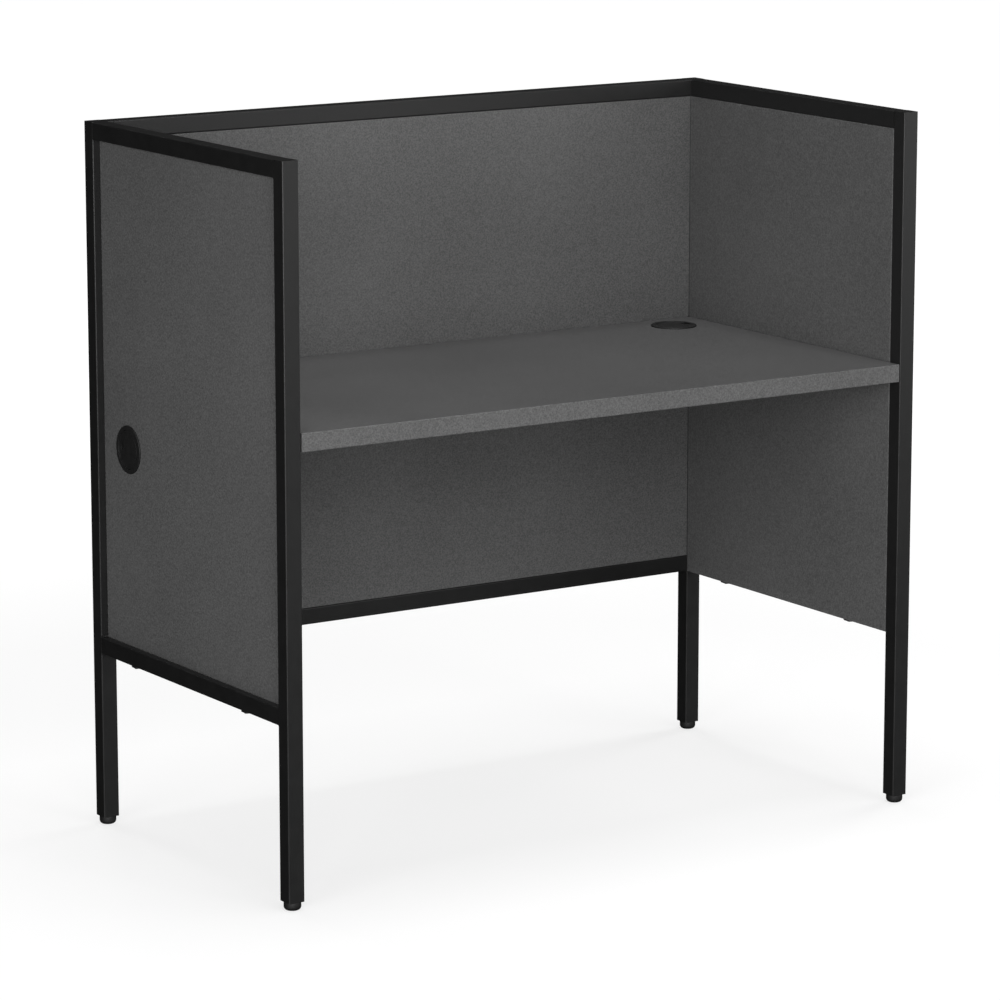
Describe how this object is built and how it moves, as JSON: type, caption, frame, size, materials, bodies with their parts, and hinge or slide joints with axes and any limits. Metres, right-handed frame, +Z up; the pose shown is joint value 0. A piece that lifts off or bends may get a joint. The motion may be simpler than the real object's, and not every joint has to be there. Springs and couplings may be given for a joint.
{
  "type": "study carrel",
  "caption": "Free-standing study desk with a worktop between two side screens and a rear screen on a square-tube frame, with cable grommets and levelling feet.",
  "frame": {"origin": "on the floor, at the middle of the footprint", "axes": "+Z up, +Y from the open front to the rear screen, +X to the reader's right when seated"},
  "size_m": [1.22, 0.6382, 1.182],
  "materials": {
    "frame": "satin black powder coat",
    "steelwork": "matte black powder coat",
    "screws": "zinc plated",
    "stud": "zinc plated, threaded",
    "panels": "dark grey melamine face on chipboard, fine mottle, matte",
    "worktop": "dark grey laminate on chipboard, fine mottle, matte",
    "edging": "dark grey edging, matte",
    "insert": "black nylon",
    "foot_pad": "black nylon, slightly satin",
    "grommet": "black moulded plastic, fine texture"
  },
  "bodies": {
    "carrel_frame": {"front_left_post": "frame", "front_right_post": "frame", "rear_left_post": "frame", "rear_right_post": "frame", "left_top_rail": "frame", "right_top_rail": "frame", "rear_top_rail": "frame", "left_bottom_rail": "frame", "right_bottom_rail": "frame", "rear_bottom_rail": "frame", "post_top_plates": "frame", "panel_top_studs": "screws", "left_panel": "panels", "right_panel": "panels", "rear_panel": "panels", "left_panel_edging": "edging", "right_panel_edging": "edging", "rear_panel_edging": "edging", "worktop": "worktop", "worktop_front_edging": "edging", "worktop_side_edging": "edging", "left_cleat": "steelwork", "right_cleat": "steelwork", "rear_cleat": "steelwork", "cleat_panel_screws": "screws", "cleat_worktop_screws": "screws", "side_panel_clips": "steelwork", "side_panel_clip_screws": "screws", "rear_panel_clips": "steelwork", "rear_panel_clip_screws": "screws", "front_left_insert": "insert", "front_right_insert": "insert", "rear_left_insert": "insert", "rear_right_insert": "insert", "worktop_left_liner": "grommet", "worktop_right_liner": "grommet", "left_panel_liner": "grommet", "right_panel_liner": "grommet"},
    "front_left_pad": {"front_left_foot_pad": "foot_pad"},
    "front_left_stud": {"front_left_foot_stud": "stud"},
    "front_right_pad": {"front_right_foot_pad": "foot_pad"},
    "front_right_stud": {"front_right_foot_stud": "stud"},
    "rear_left_pad": {"rear_left_foot_pad": "foot_pad"},
    "rear_left_stud": {"rear_left_foot_stud": "stud"},
    "rear_right_pad": {"rear_right_foot_pad": "foot_pad"},
    "rear_right_stud": {"rear_right_foot_stud": "stud"},
    "worktop_left_cap": {"worktop_left_cap": "grommet"},
    "worktop_right_cap": {"worktop_right_cap": "grommet"},
    "left_panel_cap": {"left_panel_cap": "grommet"},
    "right_panel_cap": {"right_panel_cap": "grommet"}
  },
  "joints": [
    {"name": "front_left_foot_height", "type": "slide", "parent": "carrel_frame", "child": "front_left_pad", "axis": [0, 0, 1], "range_m": [-0.02, 0]},
    {"name": "front_left_stud_turn", "type": "hinge", "parent": "front_left_pad", "child": "front_left_stud", "pos_m": [-0.5957, -0.3048, 0.006], "axis": [0, 0, 1], "range_deg": [-5765, 5]},
    {"name": "front_right_foot_height", "type": "slide", "parent": "carrel_frame", "child": "front_right_pad", "axis": [0, 0, 1], "range_m": [-0.02, 0]},
    {"name": "front_right_stud_turn", "type": "hinge", "parent": "front_right_pad", "child": "front_right_stud", "pos_m": [0.5957, -0.3048, 0.006], "axis": [0, 0, 1], "range_deg": [-5765, 5]},
    {"name": "rear_left_foot_height", "type": "slide", "parent": "carrel_frame", "child": "rear_left_pad", "axis": [0, 0, 1], "range_m": [-0.02, 0]},
    {"name": "rear_left_stud_turn", "type": "hinge", "parent": "rear_left_pad", "child": "rear_left_stud", "pos_m": [-0.5957, 0.3048, 0.006], "axis": [0, 0, 1], "range_deg": [-5765, 5]},
    {"name": "rear_right_foot_height", "type": "slide", "parent": "carrel_frame", "child": "rear_right_pad", "axis": [0, 0, 1], "range_m": [-0.02, 0]},
    {"name": "rear_right_stud_turn", "type": "hinge", "parent": "rear_right_pad", "child": "rear_right_stud", "pos_m": [0.5957, 0.3048, 0.006], "axis": [0, 0, 1], "range_deg": [-5765, 5]},
    {"name": "worktop_left_cap_turn", "type": "hinge", "parent": "carrel_frame", "child": "worktop_left_cap", "pos_m": [-0.4974, 0.2185, 0.76], "axis": [0, 0, 1], "continuous": true},
    {"name": "worktop_right_cap_turn", "type": "hinge", "parent": "carrel_frame", "child": "worktop_right_cap", "pos_m": [0.4974, 0.2185, 0.76], "axis": [0, 0, 1], "continuous": true},
    {"name": "left_panel_cap_turn", "type": "hinge", "parent": "carrel_frame", "child": "left_panel_cap", "pos_m": [-0.5973, 0.2065, 0.653], "axis": [-1, 0, 0], "continuous": true},
    {"name": "right_panel_cap_turn", "type": "hinge", "parent": "carrel_frame", "child": "right_panel_cap", "pos_m": [0.5973, 0.2065, 0.653], "axis": [1, 0, 0], "continuous": true}
  ],
  "couplings": [
    {"joint": "front_left_stud_turn", "follows": "front_left_foot_height", "rad_per_m": 5026.5},
    {"joint": "front_right_stud_turn", "follows": "front_right_foot_height", "rad_per_m": 5026.5},
    {"joint": "rear_left_stud_turn", "follows": "rear_left_foot_height", "rad_per_m": 5026.5},
    {"joint": "rear_right_stud_turn", "follows": "rear_right_foot_height", "rad_per_m": 5026.5}
  ]
}
